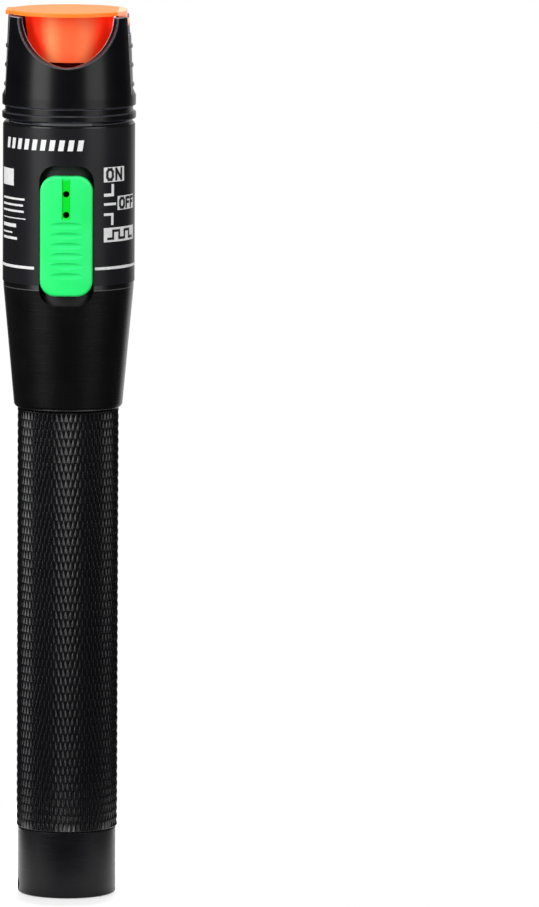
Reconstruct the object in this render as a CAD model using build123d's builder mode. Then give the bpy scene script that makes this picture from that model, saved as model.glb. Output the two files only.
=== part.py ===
from build123d import *
import os
from math import cos, pi, radians, sin, sqrt

# A pen-shaped visual fault locator: it sends red laser light into a fibre
# through the ferrule port in its nose. The pen stands on its tail cap. The
# origin is on the pen's axis at the tail's flat end, +Z runs up to the nose
# and the slide switch faces -Y. All sizes are in millimetres.

# Clearances
turned_gap = 0.05      # radial gap of turned pieces that sit in each other
sliding_gap = 0.2      # gap round the switch knob in its slot
moulded_gap = 0.1      # gap round moulded pieces that drop into a bore
standing_gap = 0.3     # gap between pieces that move past each other
overcut = 1.0          # how far a cutting tool runs past what it cuts

# Battery cells, size AA
cell_radius = 7.25
cell_length = 50.5
cell_button_radius = 2.75
cell_button_height = 1.2
cell_crimp = 0.35
cell_play = 0.35

# Tail cap
tail_wall = 0.95       # round the tube's lower neck
tail_length = 13.0
tail_edge = 0.3
tail_mouth_edge = 0.15
tail_recess_radius = 6.0
tail_recess_depth = 3.0
tail_web = 1.2
cord_hole_radius = 1.0
cord_hole_height = 1.6
cord_hole_turn = 10.0  # degrees from -X towards the front
cord_hole_flare = 0.25

# Tail spring
spring_length = 5.1
spring_radius = 4.6
spring_wire_radius = 0.4
spring_turns = 3.5

# Seal rings
seal_section_radius = 0.3
seal_land = 0.6        # distance from a shoulder to the seal's groove
seal_groove_gap = 0.05

# Battery tube
tube_shoulder = 0.9    # of the grip above the upper neck, all round
tube_neck_wall = 1.4
tube_neck_length = 9.8
tube_tail_neck_wall = 1.05
tube_tail_neck_gap = 1.3   # between the lower neck's end and the cap's web
tube_edge = 0.2

# Front shell
shell_foot_step = 0.75     # of the shell's foot above the grip, all round
shell_foot_round = 1.0
shell_taper_length = 24.0
shell_wall = 1.55
shell_shoulder = 1.5       # ledge in the bore that the chassis stands on
shell_thread_step = 0.65   # from the thread out to the bore below the ledge
shell_edge = 0.25
cell_reach = 14.1          # of the front cell above the shell's foot

# Label film on the front shell
label_thickness = 0.15
label_foot_gap = 1.0   # above the taper
label_end_gap = 0.5    # below the shell's top edge

# Switch knob, slot and travel
switch_travel = 1.9    # each way from the middle position
slot_width = 10.6
slot_corner = 3.1
slot_end_gap = 0.1     # left beyond the knob at the end of its travel
knob_stand = 0.75      # of the knob's crown in front of the shell
knob_crown_radius = 24.0
knob_length = 23.4
knob_corner = 3.0
knob_edge = 0.5
grip_groove_count = 6
grip_groove_pitch = 1.97
grip_groove_width = 7.5
grip_groove_radius = 1.0
grip_groove_depth = 0.22
grip_below_centre = 2.75
channel_width = 1.6
channel_depth = 0.2
channel_end = 3.4      # above the knob's centre
peg_hole_radius = 0.62
peg_hole_depth = 1.8
peg_hole_heights = (4.25, 8.3)

# Knob carrier
carrier_gap = 0.25     # between the carrier and the shell's bore
carrier_thickness = 1.05
carrier_half_angle = 36.0
carrier_lap = 0.2      # left behind the slot's end at the end of the travel
carrier_end_gap = 0.45
carrier_socket_wall = 1.1
carrier_socket_depth = 1.4

# Slide switch
switch_width = 8.0
switch_length = 17.2
switch_depth = 4.0
switch_sheet = 0.4
switch_base_thickness = 1.0
lever_width = 2.8
lever_length = 3.6
lever_reach = 0.5      # of the lever into the carrier's plate
lever_foot_width = 5.6
lever_foot_length = 6.8
lever_foot_thickness = 1.3
pin_radius = 0.3
pin_pitch = 3.8
pin_count = 4
pin_tail = 0.8

# Circuit board and what it carries
board_thickness = 1.6
board_back = 1.5       # distance of the back face in front of the axis
board_edge_gap = 0.45  # between the board's edges and the shell's bore
board_end_gap = 0.5
board_margin = 0.95    # of the board above the switch
board_foot_margin = 3.15   # of the board below the driver chip
board_screw_radius = 1.0
board_screw_head_radius = 1.8
board_screw_head = 1.1
board_screw_length = 7.0
board_screw_inset = (2.9, 2.6)
chip_body = (3.9, 1.5, 4.9)
chip_leg = (1.0, 0.6, 0.4)
chip_leg_pitch = 1.27
chip_gap = 1.7         # below the switch's lowest pin
small_part = (1.25, 0.6, 2.0)
small_part_pitch = 3.2
small_part_offset = 6.0

# Battery contact and ground spring
contact_radius = 3.5
contact_thickness = 0.7
contact_shank_radius = 1.0
contact_head_radius = 1.8
contact_head = 0.4
contact_tab_height = 3.0
strip_thickness = 0.3
strip_height = 4.0
strip_foot = 3.5       # soldered length and bend, from the board's edge inwards
strip_bend = 1.1

# Inner chassis
chassis_floor = 4.0
chassis_lip = 2.2      # floor left above the shoulder in the shell
chassis_top_wall = 2.5
chassis_wall = 1.5
chassis_boss_radius = 2.0

# Laser module
barrel_radius = 5.0
barrel_length = 11.5
barrel_in_port = 4.0
diode_flange_radius = 2.8
diode_flange = 1.2
diode_can_radius = 2.35
diode_can = 2.3
diode_can_gap = 0.15
diode_inset = 1.0
diode_lead_radius = 0.22
diode_lead_circle = 1.27
diode_lead_length = 4.5
lens_radius = 3.5
lens_rim = 1.2
lens_crown = 0.45
lens_seat = 6.4        # above the barrel's foot
lens_ring_height = 1.5
lens_ring_hole = 2.2

# Ferrule port for 2.5 mm ferrules
ferrule_radius = 1.25
sleeve_wall = 0.35
sleeve_length = 10.2
sleeve_slit = 0.3
port_wall = 1.15       # round the laser barrel
port_flange_step = 1.2
port_flange = 1.0
port_nose_wall = 1.35  # round the ferrule sleeve
port_neck_step = 1.0
port_mouth_gap = 0.15
port_mouth_flare = 0.35
port_lip = 0.6
port_edge = 0.2
port_aperture_radius = 0.9
port_aperture = 0.8
nut_wall = 1.8         # from the thread to the nut's corners
nut_height = 1.8
nut_stand = 0.2

# Keyed collar between the front shell and the nose
collar_spigot = 2.9
collar_gap = 0.6
collar_gap_inset = 1.0     # all four radii are set from the front shell's
collar_ring = 1.4
collar_ring_stand = 0.32
collar_neck = 1.2
collar_neck_inset = 0.25
collar_socket_step = 0.2
collar_socket_gap = 0.2
collar_edge = 0.2
collar_key_width = 10.0

# Nose housing
nose_length = 17.5
nose_stand = 0.3       # of the nose's band outside the front shell
nose_band = 1.9
nose_taper = 0.85      # how much the radius falls up to the top
nose_wall = 1.05
nose_socket_depth = 2.8
nose_floor = 1.6
nose_edge = 0.15
mouth_edge = 0.2       # chamfer round the cut-outs' outer rims
mouth_lift = 0.25      # by which the round cut-outs are shallower than half circles
cheek_half_width = 7.4     # of the walls between the mouths, at the top
flank_half_width = 4.1
flank_run_out = 1.2
flank_foot_inset = 0.55
flank_top_inset = 0.3
flank_rib_height = 0.25
flank_rib_half_width = 0.5
flank_rib_pitch = 3.75
flank_first_rib = 4.0  # above the nose's foot
flank_rib_count = 3

# Dust cap and its hinge
cap_lift = 0.3         # gap between the nose's top and the cap's disc
cap_thickness = 0.8
cap_inset = 0.6        # of the disc's edge inside the nose's top edge
cap_hinge_edge = 0.5   # from the hinge axis to where the disc is cut straight
cap_tab_stand = 0.1
cap_tab_width = 8.0
cap_tab_corner = 0.8
cap_cup_gap = 2.4      # between the cup and the nose's bore
cap_cup_taper = 1.25
cap_cup_stand = 2.5    # of the cup's foot above the port nut
cap_cup_wall = 1.2
cap_edge = 0.2
hinge_inset = 0.45     # of the hinge axis inside the nose's bore
hinge_drop = 1.8       # hinge axis below the disc's underside
hinge_pin_radius = 0.4
hinge_pin_half_length = 4.65
hinge_knuckle_radius = 0.95
hinge_leaf = 1.5
hinge_notch_depth = 3.6
hinge_ear_reach = 1.2
hinge_ear_depth = 1.6
hinge_ear_half_height = 1.2
hinge_sill_gap = 0.15  # between the knuckle and the sill below it
hinge_sill_reach = 1.1 # of the sill's inner side inside the hinge axis
hinge_sill_wall = 0.9
hinge_sill_root = 0.35 # of the sill inside the nose's wall
hinge_sill_foot = 0.8  # of the sill below the notch

# Radii worked out from the cells outwards
tube_bore_radius = cell_radius + cell_play
tube_neck_radius = tube_bore_radius + tube_neck_wall
tube_tail_neck_radius = tube_bore_radius + tube_tail_neck_wall
tube_radius = tube_neck_radius + tube_shoulder
tail_radius = tube_tail_neck_radius + turned_gap + tail_wall
shell_thread_radius = tube_neck_radius + turned_gap
shell_step_radius = shell_thread_radius + shell_thread_step
shell_bore_radius = shell_step_radius + shell_shoulder
shell_radius = shell_bore_radius + shell_wall
shell_foot_radius = tube_radius + shell_foot_step
collar_gap_radius = shell_radius - collar_gap_inset
collar_ring_radius = shell_radius + collar_ring_stand
collar_neck_radius = shell_radius - collar_neck_inset
collar_socket_radius = shell_bore_radius + collar_socket_step
nose_radius = shell_radius + nose_stand
nose_top_radius = nose_radius - nose_taper
nose_bore_radius = nose_top_radius - nose_wall
mouth_radius = sqrt(nose_top_radius ** 2 - cheek_half_width ** 2)
mouth_depth = mouth_radius - mouth_lift
flank_foot_radius = nose_radius - flank_foot_inset
flank_top_radius = nose_top_radius - flank_top_inset
hinge_x = nose_bore_radius - hinge_inset
cap_radius = nose_top_radius - cap_inset
cap_hinge_side = hinge_x + cap_hinge_edge
cap_tab_reach = nose_top_radius + cap_tab_stand
cap_cup_radius = nose_bore_radius - cap_cup_gap
cap_cup_foot_radius = cap_cup_radius - cap_cup_taper

# Radii of the ferrule port, worked out from the ferrule outwards
sleeve_radius = ferrule_radius + sleeve_wall
port_mouth_radius = ferrule_radius + port_mouth_gap
port_nose_radius = sleeve_radius + turned_gap + port_nose_wall
port_neck_radius = port_nose_radius + port_neck_step
port_radius = barrel_radius + turned_gap + port_wall
port_flange_radius = port_radius + port_flange_step
nut_radius = port_neck_radius + nut_wall
barrel_throat_radius = diode_can_radius + diode_can_gap

# Depths in front of the axis, measured towards the switch
board_front = board_back + board_thickness
switch_front = board_front + switch_depth
carrier_radius = shell_bore_radius - carrier_gap
carrier_inner = carrier_radius - carrier_thickness
socket_foot = carrier_inner - carrier_socket_depth
lever_tip = carrier_inner + lever_reach
knob_front = shell_radius + knob_stand
board_half_width = sqrt((shell_bore_radius - board_edge_gap) ** 2 - board_front ** 2)
board_screw_offset = board_half_width - board_screw_inset[0]

# Heights worked out from the tail upwards
tube_base = tail_length
web_top = tail_recess_depth + tail_web
tube_foot = web_top + tube_tail_neck_gap
cell_base = web_top + spring_length
cell_top = cell_base + 2 * cell_length
shell_base = cell_top - cell_reach
tube_top = shell_base + tube_neck_length
taper_top = shell_base + shell_taper_length
chassis_base = cell_top + contact_thickness
chassis_deck = chassis_base + chassis_floor
chassis_seat = chassis_deck - chassis_lip
slot_length = knob_length + 2 * (switch_travel + slot_end_gap)
carrier_length = slot_length + 2 * (switch_travel + carrier_lap)
carrier_reach = carrier_length / 2 + switch_travel + carrier_end_gap
board_base = chassis_deck + board_end_gap
pin_row = (pin_count - 1) * pin_pitch

# The slot leaves room below its middle for the carrier at the end of its
# travel and for the chip on the board, and above it for the carrier again and
# for the rest of the board below the laser barrel
slot_centre = max(chassis_seat + carrier_reach,
                  board_base + board_foot_margin + chip_body[2] + chip_gap + pin_row / 2)
port_base = max(slot_centre + carrier_reach - port_flange,
                slot_centre + switch_length / 2 + board_margin + board_end_gap
                + barrel_length - barrel_in_port)
port_seat = port_base + port_flange
barrel_top = port_base + barrel_in_port
barrel_base = barrel_top - barrel_length
board_top = barrel_base - board_end_gap
shell_top = port_seat + collar_spigot
ring_base = shell_top + collar_gap
ring_top = ring_base + collar_ring
nose_base = ring_top + collar_neck
nose_top = nose_base + nose_length
nose_floor_base = nose_base + nose_socket_depth
nose_floor_top = nose_floor_base + nose_floor
nut_top = nose_floor_top + nut_height
sleeve_base = barrel_top + turned_gap + port_aperture
sleeve_top = sleeve_base + sleeve_length
port_mouth_base = sleeve_top + turned_gap
port_top = port_mouth_base + port_lip
cap_base = nose_top + cap_lift
cup_foot = nut_top + cap_cup_stand
hinge_z = cap_base - hinge_drop
notch_floor = nose_top - hinge_notch_depth
sill_top = hinge_z - hinge_knuckle_radius - hinge_sill_gap

os.makedirs("parts", exist_ok=True)


def save(part, name):
    """Label a finished piece and write it under its node name."""
    part.label = name
    export_step(part, f"parts/{name}.step")


def seal_ring(section_centre, height):
    """A round-section rubber ring about the pen's axis."""
    with BuildPart() as ring:
        with BuildSketch(Plane.XZ):
            with Locations((section_centre, height)):
                Circle(seal_section_radius)
        revolve(axis=Axis.Z)
    return ring.part


# Battery cells: a can with a crimped shoulder and its positive button
for cell_name, cell_foot in (("rear_cell", cell_base), ("front_cell", cell_base + cell_length)):
    can_top = cell_foot + cell_length - cell_button_height
    with BuildPart() as cell:
        with BuildSketch(Plane.XY.offset(cell_foot)):
            Circle(cell_radius)
        extrude(amount=can_top - cell_foot)
        chamfer(cell.faces().sort_by(Axis.Z)[-1].edges(), cell_crimp)
        chamfer(cell.faces().sort_by(Axis.Z)[0].edges(), cell_crimp)
        with BuildSketch(Plane.XY.offset(can_top)):
            Circle(cell_button_radius)
        extrude(amount=cell_button_height)
        fillet(cell.faces().sort_by(Axis.Z)[-1].edges(), cell_crimp)
    save(cell.part, cell_name)

# Tail cap: a turned cup that screws over the tube's lower neck, with a
# recess in its end and a cord hole through the wall into that recess
with BuildPart() as tail_cap:
    with BuildSketch():
        Circle(tail_radius)
    extrude(amount=tail_length)
    fillet(tail_cap.faces().sort_by(Axis.Z)[0].edges(), tail_edge)
    chamfer(tail_cap.faces().sort_by(Axis.Z)[-1].edges(), tail_mouth_edge)
    with BuildSketch():
        Circle(tail_recess_radius)
    extrude(amount=tail_recess_depth, mode=Mode.SUBTRACT)
    with BuildSketch(Plane.XY.offset(web_top)):
        Circle(tube_tail_neck_radius + turned_gap)
    extrude(amount=tail_length, mode=Mode.SUBTRACT)
    cord_way = Plane(origin=(0, 0, cord_hole_height),
                     z_dir=(-cos(radians(cord_hole_turn)), -sin(radians(cord_hole_turn)), 0))
    with Locations(cord_way):
        Cylinder(cord_hole_radius, tail_radius + overcut,
                 align=(Align.CENTER, Align.CENTER, Align.MIN), mode=Mode.SUBTRACT)
    with Locations(cord_way.offset(tail_radius - cord_hole_flare)):
        Cone(cord_hole_radius, cord_hole_radius + cord_hole_flare + overcut,
             cord_hole_flare + overcut,
             align=(Align.CENTER, Align.CENTER, Align.MIN), mode=Mode.SUBTRACT)
save(tail_cap.part, "tail_cap")

# Tail spring: an open coil between the cap's web and the rear cell
with BuildPart() as tail_spring:
    with BuildLine() as coil:
        Helix(pitch=(spring_length - 2 * spring_wire_radius) / spring_turns,
              height=spring_length - 2 * spring_wire_radius,
              radius=spring_radius,
              center=(0, 0, web_top + spring_wire_radius))
    with BuildSketch(Plane(origin=coil.line @ 0, z_dir=coil.line % 0)):
        Circle(spring_wire_radius)
    sweep()
save(tail_spring.part, "tail_spring")

# Battery tube: the long grip, with a threaded neck and a seal at each end
necks = (("tail_seal", tube_tail_neck_radius, tube_base - seal_land - seal_section_radius),
         ("tube_seal", tube_neck_radius, shell_base + seal_land + seal_section_radius))
with BuildPart() as battery_tube:
    with BuildSketch(Plane.XY.offset(tube_base)):
        Circle(tube_radius)
    extrude(amount=shell_base - tube_base)
    chamfer(battery_tube.edges().filter_by(GeomType.CIRCLE), tube_edge)
    with BuildSketch(Plane.XY.offset(shell_base)):
        Circle(tube_neck_radius)
    extrude(amount=tube_neck_length)
    chamfer(battery_tube.faces().sort_by(Axis.Z)[-1].edges(), tube_edge)
    with BuildSketch(Plane.XY.offset(tube_base)):
        Circle(tube_tail_neck_radius)
    extrude(amount=tube_foot - tube_base)
    chamfer(battery_tube.faces().sort_by(Axis.Z)[0].edges(), tube_edge)
    with BuildSketch(Plane.XY.offset(tube_foot)):
        Circle(tube_bore_radius)
    extrude(amount=tube_top - tube_foot, mode=Mode.SUBTRACT)
    for _, neck_radius, seal_height in necks:
        with BuildSketch(Plane.XZ):
            with Locations((neck_radius, seal_height)):
                Rectangle(4 * seal_section_radius + 4 * seal_groove_gap,
                          2 * seal_section_radius + 2 * seal_groove_gap)
        revolve(axis=Axis.Z, mode=Mode.SUBTRACT)
save(battery_tube.part, "battery_tube")

for seal_name, neck_radius, seal_height in necks:
    seal_centre = neck_radius - seal_section_radius - seal_groove_gap
    save(seal_ring(seal_centre, seal_height), seal_name)

# Front shell: a turned taper and straight barrel with the switch slot
with BuildPart() as front_shell:
    with BuildSketch(Plane.XZ):
        with BuildLine():
            foot = Polyline((shell_thread_radius, shell_base),
                            (shell_foot_radius - shell_foot_round, shell_base))
            RadiusArc(foot @ 1, (shell_foot_radius, shell_base + shell_foot_round), -shell_foot_round)
            Polyline((shell_foot_radius, shell_base + shell_foot_round),
                     (shell_radius, taper_top),
                     (shell_radius, shell_top - shell_edge),
                     (shell_radius - shell_edge, shell_top),
                     (shell_bore_radius, shell_top),
                     (shell_bore_radius, chassis_seat),
                     (shell_step_radius, chassis_seat),
                     (shell_step_radius, tube_top),
                     (shell_thread_radius, tube_top),
                     (shell_thread_radius, shell_base))
        make_face()
    revolve(axis=Axis.Z)
    with BuildSketch(Plane.XZ):
        with Locations((0, slot_centre)):
            RectangleRounded(slot_width, slot_length, slot_corner)
    extrude(amount=shell_radius + overcut, mode=Mode.SUBTRACT)
save(front_shell.part, "front_shell")

# Label film: a thin printed sleeve with the same slot
with BuildPart() as label_film:
    with BuildSketch(Plane.XY.offset(taper_top + label_foot_gap)):
        Circle(shell_radius + label_thickness)
        Circle(shell_radius, mode=Mode.SUBTRACT)
    extrude(amount=shell_top - label_end_gap - taper_top - label_foot_gap)
    with BuildSketch(Plane.XZ):
        with Locations((0, slot_centre)):
            RectangleRounded(slot_width, slot_length, slot_corner)
    extrude(amount=shell_radius + overcut, mode=Mode.SUBTRACT)
save(label_film.part, "label_film")

# Slide knob: a crowned moulding with thumb grooves and two peg holes
knob_width = slot_width - 2 * sliding_gap
with BuildPart() as slide_knob:
    with BuildSketch(Plane.XZ):
        with Locations((0, slot_centre)):
            RectangleRounded(knob_width, knob_length, knob_corner)
    extrude(amount=knob_front + overcut)
    with Locations((0, knob_crown_radius - knob_front, slot_centre)):
        Cylinder(knob_crown_radius, knob_length + overcut, mode=Mode.INTERSECT)
    fillet(slide_knob.faces().sort_by(Axis.Y)[0].edges(), knob_edge)
    with Locations((0, 0, slot_centre)):
        Cylinder(carrier_radius + turned_gap, knob_length + overcut, mode=Mode.SUBTRACT)
    split(bisect_by=Plane.XZ.offset(carrier_inner / 2), keep=Keep.TOP)
    for groove in range(grip_groove_count):
        groove_z = (slot_centre - grip_below_centre
                    + (groove - (grip_groove_count - 1) / 2) * grip_groove_pitch)
        groove_y = -knob_front - grip_groove_radius + grip_groove_depth
        with Locations((0, groove_y, groove_z)):
            Cylinder(grip_groove_radius, grip_groove_width, rotation=(0, 90, 0),
                     mode=Mode.SUBTRACT)
    channel_top = knob_length / 2 + overcut
    with Locations((0, -knob_front, slot_centre + (channel_top + channel_end) / 2)):
        Box(channel_width, 2 * channel_depth, channel_top - channel_end, mode=Mode.SUBTRACT)
    with BuildSketch(Plane.XZ.offset(knob_front - peg_hole_depth)):
        for peg_height in peg_hole_heights:
            with Locations((0, slot_centre + peg_height)):
                Circle(peg_hole_radius)
    extrude(amount=peg_hole_depth + overcut, mode=Mode.SUBTRACT)
save(slide_knob.part, "slide_knob")

# Knob carrier: a curved black slide plate behind the slot, with a lever socket
with BuildPart() as knob_carrier:
    with BuildSketch(Plane.XY.offset(slot_centre - carrier_length / 2)):
        with BuildLine():
            start = radians(270 - carrier_half_angle)
            CenterArc((0, 0), carrier_radius, 270 - carrier_half_angle, 2 * carrier_half_angle)
            CenterArc((0, 0), carrier_inner, 270 - carrier_half_angle, 2 * carrier_half_angle)
            Line((carrier_inner * cos(start), carrier_inner * sin(start)),
                 (carrier_radius * cos(start), carrier_radius * sin(start)))
            Line((-carrier_inner * cos(start), carrier_inner * sin(start)),
                 (-carrier_radius * cos(start), carrier_radius * sin(start)))
        make_face()
    extrude(amount=carrier_length)
    with Locations((0, -(socket_foot + lever_tip) / 2, slot_centre)):
        Box(lever_width + 2 * carrier_socket_wall, lever_tip - socket_foot,
            lever_length + 2 * carrier_socket_wall)
    with Locations((0, -(socket_foot + lever_tip) / 2, slot_centre)):
        Box(lever_width + 2 * turned_gap, lever_tip - socket_foot + 2 * turned_gap,
            lever_length + 2 * turned_gap, mode=Mode.SUBTRACT)
save(knob_carrier.part, "knob_carrier")

# Switch case: a folded sheet can with a slot for the lever
with BuildPart() as switch_case:
    with Locations((0, -(board_front + switch_front) / 2, slot_centre)):
        Box(switch_width, switch_depth, switch_length)
    fillet(switch_case.edges().filter_by(Axis.Y), switch_sheet)
    with Locations((0, -(board_front + switch_front) / 2 + switch_sheet / 2, slot_centre)):
        Box(switch_width - 2 * switch_sheet, switch_depth - switch_sheet,
            switch_length - 2 * switch_sheet, mode=Mode.SUBTRACT)
    with Locations((0, -switch_front, slot_centre)):
        Box(lever_width + 2 * sliding_gap, 4 * switch_sheet,
            lever_length + 2 * switch_travel + 2 * sliding_gap, mode=Mode.SUBTRACT)
save(switch_case.part, "switch_case")

# Switch base: the insulating plate that closes the can and holds the pins
base_front = board_front + switch_base_thickness
pin_heights = [slot_centre - pin_row / 2 + pin * pin_pitch for pin in range(pin_count)]
with BuildPart() as switch_base:
    with Locations((0, -(board_front + base_front) / 2, slot_centre)):
        Box(switch_width - 2 * switch_sheet - 2 * turned_gap, switch_base_thickness,
            switch_length - 2 * switch_sheet - 2 * turned_gap)
    with BuildSketch(Plane.XZ):
        for pin_z in pin_heights:
            with Locations((0, pin_z)):
                Circle(pin_radius + turned_gap)
    extrude(amount=base_front + overcut, mode=Mode.SUBTRACT)
save(switch_base.part, "switch_base")

# Switch lever: the stem that the knob carrier pushes, on a wide foot
foot_front = switch_front - switch_sheet - moulded_gap
with BuildPart() as switch_lever:
    with Locations((0, -foot_front + lever_foot_thickness / 2, slot_centre)):
        Box(lever_foot_width, lever_foot_thickness, lever_foot_length)
    with Locations((0, -(foot_front + lever_tip) / 2, slot_centre)):
        Box(lever_width, lever_tip - foot_front, lever_length)
save(switch_lever.part, "switch_lever")

# Switch pins: four solder pins through the base and the board
with BuildPart() as switch_pins:
    with BuildSketch(Plane.XZ.offset(board_back - pin_tail)):
        for pin_z in pin_heights:
            with Locations((0, pin_z)):
                Circle(pin_radius)
    extrude(amount=base_front + pin_radius - board_back + pin_tail)
save(switch_pins.part, "switch_pins")

# Circuit board, screwed to the chassis at two corners
screw_places = [(-board_screw_offset, board_top - board_screw_inset[1]),
                (board_screw_offset, board_base + board_screw_inset[1])]
with BuildPart() as circuit_board:
    with BuildSketch(Plane.XZ.offset(board_back)):
        with Locations((0, (board_base + board_top) / 2)):
            Rectangle(2 * board_half_width, board_top - board_base)
        with Locations(*screw_places):
            Circle(board_screw_radius + turned_gap, mode=Mode.SUBTRACT)
        for pin_z in pin_heights:
            with Locations((0, pin_z)):
                Circle(pin_radius + moulded_gap, mode=Mode.SUBTRACT)
    extrude(amount=board_thickness)
save(circuit_board.part, "circuit_board")

# Board screws: round heads on the board's front face
with BuildPart() as board_screws:
    with BuildSketch(Plane.XZ.offset(board_front)):
        with Locations(*screw_places):
            Circle(board_screw_head_radius)
    extrude(amount=board_screw_head)
    fillet(board_screws.faces().group_by(Axis.Y)[0].edges(), board_screw_head / 3)
    with BuildSketch(Plane.XZ.offset(board_front - board_screw_length)):
        with Locations(*screw_places):
            Circle(board_screw_radius)
    extrude(amount=board_screw_length)
    with BuildSketch(Plane.XZ.offset(board_front + board_screw_head / 2)):
        with Locations(*screw_places):
            Rectangle(2 * board_screw_head_radius, board_screw_head / 3)
    extrude(amount=board_screw_head, mode=Mode.SUBTRACT)
save(board_screws.part, "board_screws")

# Driver chip on the board's back face, with its eight legs
chip_centre = pin_heights[0] - chip_gap - chip_body[2] / 2
with BuildPart() as driver_chip:
    with Locations((0, -board_back + chip_body[1] / 2 + chip_leg[2] / 4, chip_centre)):
        Box(chip_body[0], chip_body[1] - chip_leg[2] / 2, chip_body[2])
    chamfer(driver_chip.faces().sort_by(Axis.Y)[-1].edges(), chip_leg[2] / 2)
    leg_x = chip_body[0] / 2 + chip_leg[0] / 2
    for side in (-1, 1):
        for leg in range(4):
            leg_z = chip_centre + (leg - 1.5) * chip_leg_pitch
            with Locations((side * leg_x, -board_back + chip_leg[1] / 2, leg_z)):
                Box(chip_leg[0], chip_leg[1], chip_leg[2])
save(driver_chip.part, "driver_chip")

# Resistors and capacitors, in a row on each side of the board's back face
small_centre = (board_base + board_top) / 2
for small_name, small_x in (("chip_resistors", small_part_offset),
                            ("chip_capacitors", -small_part_offset)):
    with BuildPart() as small_parts:
        for place in (-1, 0, 1):
            with Locations((small_x, -board_back + small_part[1] / 2,
                            small_centre + place * small_part_pitch)):
                Box(*small_part)
    save(small_parts.part, small_name)

# Battery contact: a riveted disc with a solder tab behind the board
with BuildPart() as battery_contact:
    with BuildSketch(Plane.XY.offset(cell_top)):
        Circle(contact_radius)
    extrude(amount=contact_thickness)
    chamfer(battery_contact.faces().sort_by(Axis.Z)[0].edges(), contact_thickness / 3)
    with BuildSketch(Plane.XY.offset(chassis_base)):
        Circle(contact_shank_radius)
    extrude(amount=chassis_floor)
    with BuildSketch(Plane.XY.offset(chassis_deck)):
        Circle(contact_head_radius)
        with Locations((0, -contact_head_radius)):
            Rectangle(2 * contact_head_radius, 2 * (contact_head_radius - board_back),
                      mode=Mode.SUBTRACT)
    extrude(amount=contact_head)
    with Locations((0, -board_back + strip_thickness / 2,
                    chassis_deck + contact_tab_height / 2)):
        Box(2 * contact_shank_radius, strip_thickness, contact_tab_height)
save(battery_contact.part, "battery_contact")

# Ground spring: a bent strip from the board to the metal shell
strip_tip = sqrt((shell_bore_radius - moulded_gap) ** 2 - (board_front + 3 * strip_thickness) ** 2)
with BuildPart() as ground_spring:
    with BuildSketch(Plane.XY.offset(small_centre - strip_height / 2)):
        with BuildLine():
            Polyline((board_half_width - strip_foot, -board_front),
                     (board_half_width - strip_bend, -board_front),
                     (strip_tip, -board_front - 2 * strip_thickness),
                     (strip_tip, -board_front - 3 * strip_thickness),
                     (board_half_width - strip_bend, -board_front - strip_thickness),
                     (board_half_width - strip_foot, -board_front - strip_thickness),
                     close=True)
        make_face()
    extrude(amount=strip_height)
save(ground_spring.part, "ground_spring")

# Inner chassis: a moulded half trough with a floor, a top wall and two bosses
trough_radius = shell_bore_radius - moulded_gap
trough_inner = trough_radius - chassis_wall
plug_radius = shell_step_radius - moulded_gap
with BuildPart() as inner_chassis:
    with BuildSketch(Plane.XY.offset(chassis_seat)):
        Circle(trough_radius)
        Circle(trough_inner, mode=Mode.SUBTRACT)
        with Locations((0, -board_back - trough_radius)):
            Rectangle(2 * trough_radius, 2 * trough_radius, mode=Mode.SUBTRACT)
    extrude(amount=port_base - chassis_seat)
    with BuildSketch(Plane.XY.offset(chassis_base)):
        Circle(plug_radius)
    extrude(amount=chassis_floor)
    with BuildSketch(Plane.XY.offset(port_base - chassis_top_wall)):
        Circle(plug_radius)
    extrude(amount=chassis_top_wall)
    with BuildSketch(Plane.XZ.offset(board_back)):
        with Locations(*screw_places):
            Circle(chassis_boss_radius)
    extrude(amount=-board_back - sqrt(trough_inner ** 2 - board_screw_offset ** 2))
    with BuildSketch(Plane.XZ.offset(board_front - board_screw_length - overcut)):
        with Locations(*screw_places):
            Circle(board_screw_radius + turned_gap / 2)
    extrude(amount=board_screw_length, mode=Mode.SUBTRACT)
    with BuildSketch(Plane.XY.offset(port_base - chassis_top_wall)):
        Circle(barrel_radius + turned_gap)
    extrude(amount=chassis_top_wall, mode=Mode.SUBTRACT)
    with BuildSketch(Plane.XY.offset(chassis_base)):
        Circle(contact_shank_radius + turned_gap)
    extrude(amount=chassis_floor, mode=Mode.SUBTRACT)
save(inner_chassis.part, "inner_chassis")

# Laser barrel: a turned brass tube with a diode seat, a throat and a lens seat
diode_base = barrel_base + diode_inset
diode_step = diode_base + diode_flange + turned_gap
lens_base = barrel_base + lens_seat
with BuildPart() as laser_barrel:
    with BuildSketch(Plane.XZ):
        with BuildLine():
            Polyline((diode_flange_radius + turned_gap, barrel_base),
                     (barrel_radius, barrel_base),
                     (barrel_radius, barrel_top),
                     (lens_radius + turned_gap, barrel_top),
                     (lens_radius + turned_gap, lens_base),
                     (barrel_throat_radius, lens_base),
                     (barrel_throat_radius, diode_step),
                     (diode_flange_radius + turned_gap, diode_step),
                     close=True)
        make_face()
    revolve(axis=Axis.Z)
save(laser_barrel.part, "laser_barrel")

# Laser diode: a flanged can on three leads
with BuildPart() as laser_diode:
    with BuildSketch(Plane.XY.offset(diode_base)):
        Circle(diode_flange_radius)
    extrude(amount=diode_flange)
    with BuildSketch(Plane.XY.offset(diode_base + diode_flange)):
        Circle(diode_can_radius)
    extrude(amount=diode_can)
    with BuildSketch(Plane.XY.offset(diode_base - diode_lead_length)):
        with PolarLocations(diode_lead_circle, 3, start_angle=-90):
            Circle(diode_lead_radius)
    extrude(amount=diode_lead_length)
save(laser_diode.part, "laser_diode")

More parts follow.
